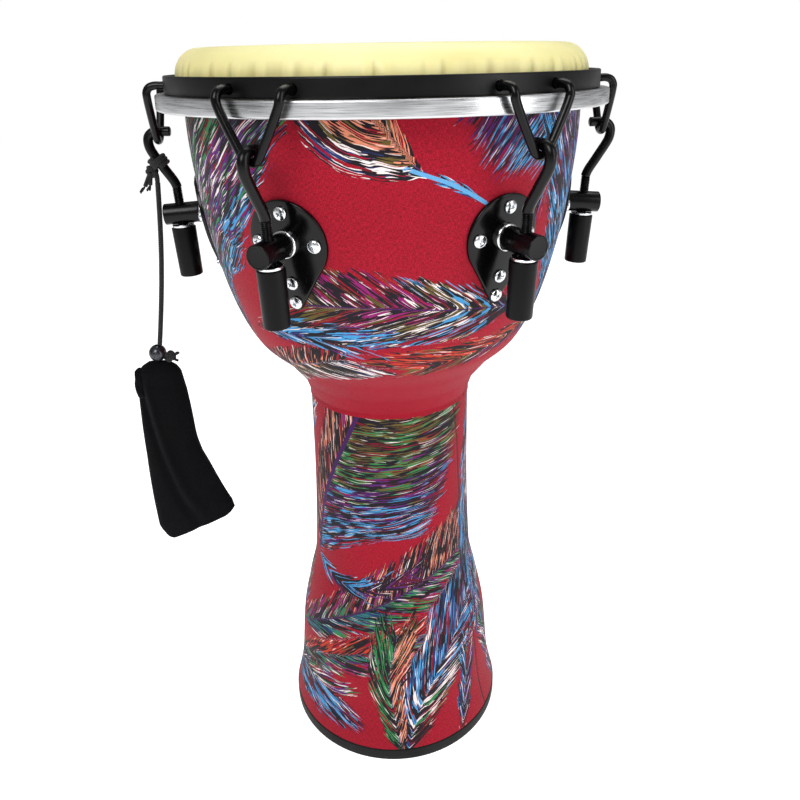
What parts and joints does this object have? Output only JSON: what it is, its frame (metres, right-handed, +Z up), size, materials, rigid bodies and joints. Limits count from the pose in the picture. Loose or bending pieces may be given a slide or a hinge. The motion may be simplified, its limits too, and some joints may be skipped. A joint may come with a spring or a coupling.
{
  "type": "djembe",
  "caption": "Goblet hand drum with a synthetic head, printed fabric cover, bolt-on tuning lugs and a hanging tassel; stands on a rubber foot ring.",
  "frame": {"origin": "on the floor under the drum's axis, centre of the foot ring's underside", "axes": "+Z up along the drum's axis; the tassel hangs on the -X side"},
  "size_m": [0.4077, 0.3438, 0.6053],
  "materials": {
    "fibreglass": "dark glass-fibre laminate, slightly rough inside",
    "printed_fabric": "crimson woven cover with a multicoloured feather print",
    "foot_rubber": "matte black rubber",
    "film": "cream synthetic skin, satin",
    "hoop_aluminium": "brushed, lightly scratched",
    "powder_coat": "satin black powder coat",
    "black_steel": "gloss black",
    "screw_steel": "bright zinc",
    "bright_steel": "polished",
    "black_nut": "satin black",
    "cord": "black braided cord",
    "bead_metal": "dark grey metallic bead",
    "velvet": "black velvet"
  },
  "bodies": {
    "drum": {"shell_stem": "fibreglass", "shell_bowl": "fibreglass", "fabric_cover": "printed_fabric", "foot_ring": "foot_rubber", "drumhead": "film", "lug_plate_1": "black_steel", "lug_screws_1": "screw_steel", "lug_post_1": "black_steel", "post_ring_1": "bright_steel", "washer_1": "bright_steel", "lug_plate_2": "black_steel", "lug_screws_2": "screw_steel", "lug_post_2": "black_steel", "post_ring_2": "bright_steel", "washer_2": "bright_steel", "lug_plate_3": "black_steel", "lug_screws_3": "screw_steel", "lug_post_3": "black_steel", "post_ring_3": "bright_steel", "washer_3": "bright_steel", "lug_plate_4": "black_steel", "lug_screws_4": "screw_steel", "lug_post_4": "black_steel", "post_ring_4": "bright_steel", "washer_4": "bright_steel", "lug_plate_5": "black_steel", "lug_screws_5": "screw_steel", "lug_post_5": "black_steel", "post_ring_5": "bright_steel", "washer_5": "bright_steel", "lug_plate_6": "black_steel", "lug_screws_6": "screw_steel", "lug_post_6": "black_steel", "post_ring_6": "bright_steel", "washer_6": "bright_steel"},
    "hoops": {"flesh_hoop": "hoop_aluminium", "counterhoop": "powder_coat", "claw_1": "black_steel", "claw_2": "black_steel", "claw_3": "black_steel", "claw_4": "black_steel", "claw_5": "black_steel", "claw_6": "black_steel"},
    "rod_1": {"tension_rod_1": "black_steel", "cord_knot": "cord"},
    "nut_1": {"tuning_nut_1": "black_nut"},
    "rod_2": {"tension_rod_2": "black_steel"},
    "nut_2": {"tuning_nut_2": "black_nut"},
    "rod_3": {"tension_rod_3": "black_steel"},
    "nut_3": {"tuning_nut_3": "black_nut"},
    "rod_4": {"tension_rod_4": "black_steel"},
    "nut_4": {"tuning_nut_4": "black_nut"},
    "rod_5": {"tension_rod_5": "black_steel"},
    "nut_5": {"tuning_nut_5": "black_nut"},
    "rod_6": {"tension_rod_6": "black_steel"},
    "nut_6": {"tuning_nut_6": "black_nut"},
    "tassel": {"tassel_cord": "cord", "tassel_bead": "bead_metal", "tassel": "velvet"}
  },
  "joints": [
    {"name": "nut_1_turn", "type": "hinge", "parent": "drum", "child": "nut_1", "pos_m": [-0.16514, 0, 0.47989], "axis": [0.0698, 0, -0.9976], "range_deg": [-578, 1154]},
    {"name": "nut_2_turn", "type": "hinge", "parent": "drum", "child": "nut_2", "pos_m": [-0.08257, -0.14302, 0.47989], "axis": [0.0349, 0.0604, -0.9976], "range_deg": [-578, 1154]},
    {"name": "nut_3_turn", "type": "hinge", "parent": "drum", "child": "nut_3", "pos_m": [0.08257, -0.14302, 0.47989], "axis": [-0.0349, 0.0604, -0.9976], "range_deg": [-578, 1154]},
    {"name": "nut_4_turn", "type": "hinge", "parent": "drum", "child": "nut_4", "pos_m": [0.16514, 0, 0.47989], "axis": [-0.0698, 0, -0.9976], "range_deg": [-578, 1154]},
    {"name": "nut_5_turn", "type": "hinge", "parent": "drum", "child": "nut_5", "pos_m": [0.08257, 0.14302, 0.47989], "axis": [-0.0349, -0.0604, -0.9976], "range_deg": [-578, 1154]},
    {"name": "nut_6_turn", "type": "hinge", "parent": "drum", "child": "nut_6", "pos_m": [-0.08257, 0.14302, 0.47989], "axis": [0.0349, -0.0604, -0.9976], "range_deg": [-578, 1154]},
    {"name": "hoop_slide", "type": "slide", "parent": "drum", "child": "hoops", "axis": [0, 0, -1], "range_m": [-0.002, 0.004]},
    {"name": "rod_1_slide", "type": "slide", "parent": "drum", "child": "rod_1", "axis": [0.0698, 0, -0.9976], "range_m": [-0.00202, 0.00403]},
    {"name": "rod_2_slide", "type": "slide", "parent": "drum", "child": "rod_2", "axis": [0.0349, 0.0604, -0.9976], "range_m": [-0.00202, 0.00403]},
    {"name": "rod_3_slide", "type": "slide", "parent": "drum", "child": "rod_3", "axis": [-0.0349, 0.0604, -0.9976], "range_m": [-0.00202, 0.00403]},
    {"name": "rod_4_slide", "type": "slide", "parent": "drum", "child": "rod_4", "axis": [-0.0698, 0, -0.9976], "range_m": [-0.00202, 0.00403]},
    {"name": "rod_5_slide", "type": "slide", "parent": "drum", "child": "rod_5", "axis": [-0.0349, -0.0604, -0.9976], "range_m": [-0.00202, 0.00403]},
    {"name": "rod_6_slide", "type": "slide", "parent": "drum", "child": "rod_6", "axis": [0.0349, -0.0604, -0.9976], "range_m": [-0.00202, 0.00403]},
    {"name": "tassel_swing", "type": "hinge", "parent": "rod_1", "child": "tassel", "pos_m": [-0.18108, 0, 0.50525], "axis": [0, 1, 0], "range_deg": [0, 40]}
  ],
  "couplings": [
    {"joint": "nut_1_turn", "follows": "hoop_slide", "rad_per_m": 5026.5},
    {"joint": "nut_2_turn", "follows": "hoop_slide", "rad_per_m": 5026.5},
    {"joint": "nut_3_turn", "follows": "hoop_slide", "rad_per_m": 5026.5},
    {"joint": "nut_4_turn", "follows": "hoop_slide", "rad_per_m": 5026.5},
    {"joint": "nut_5_turn", "follows": "hoop_slide", "rad_per_m": 5026.5},
    {"joint": "nut_6_turn", "follows": "hoop_slide", "rad_per_m": 5026.5},
    {"joint": "rod_1_slide", "follows": "hoop_slide", "ratio": 1.0024},
    {"joint": "rod_2_slide", "follows": "hoop_slide", "ratio": 1.0024},
    {"joint": "rod_3_slide", "follows": "hoop_slide", "ratio": 1.0024},
    {"joint": "rod_4_slide", "follows": "hoop_slide", "ratio": 1.0024},
    {"joint": "rod_5_slide", "follows": "hoop_slide", "ratio": 1.0024},
    {"joint": "rod_6_slide", "follows": "hoop_slide", "ratio": 1.0024}
  ]
}
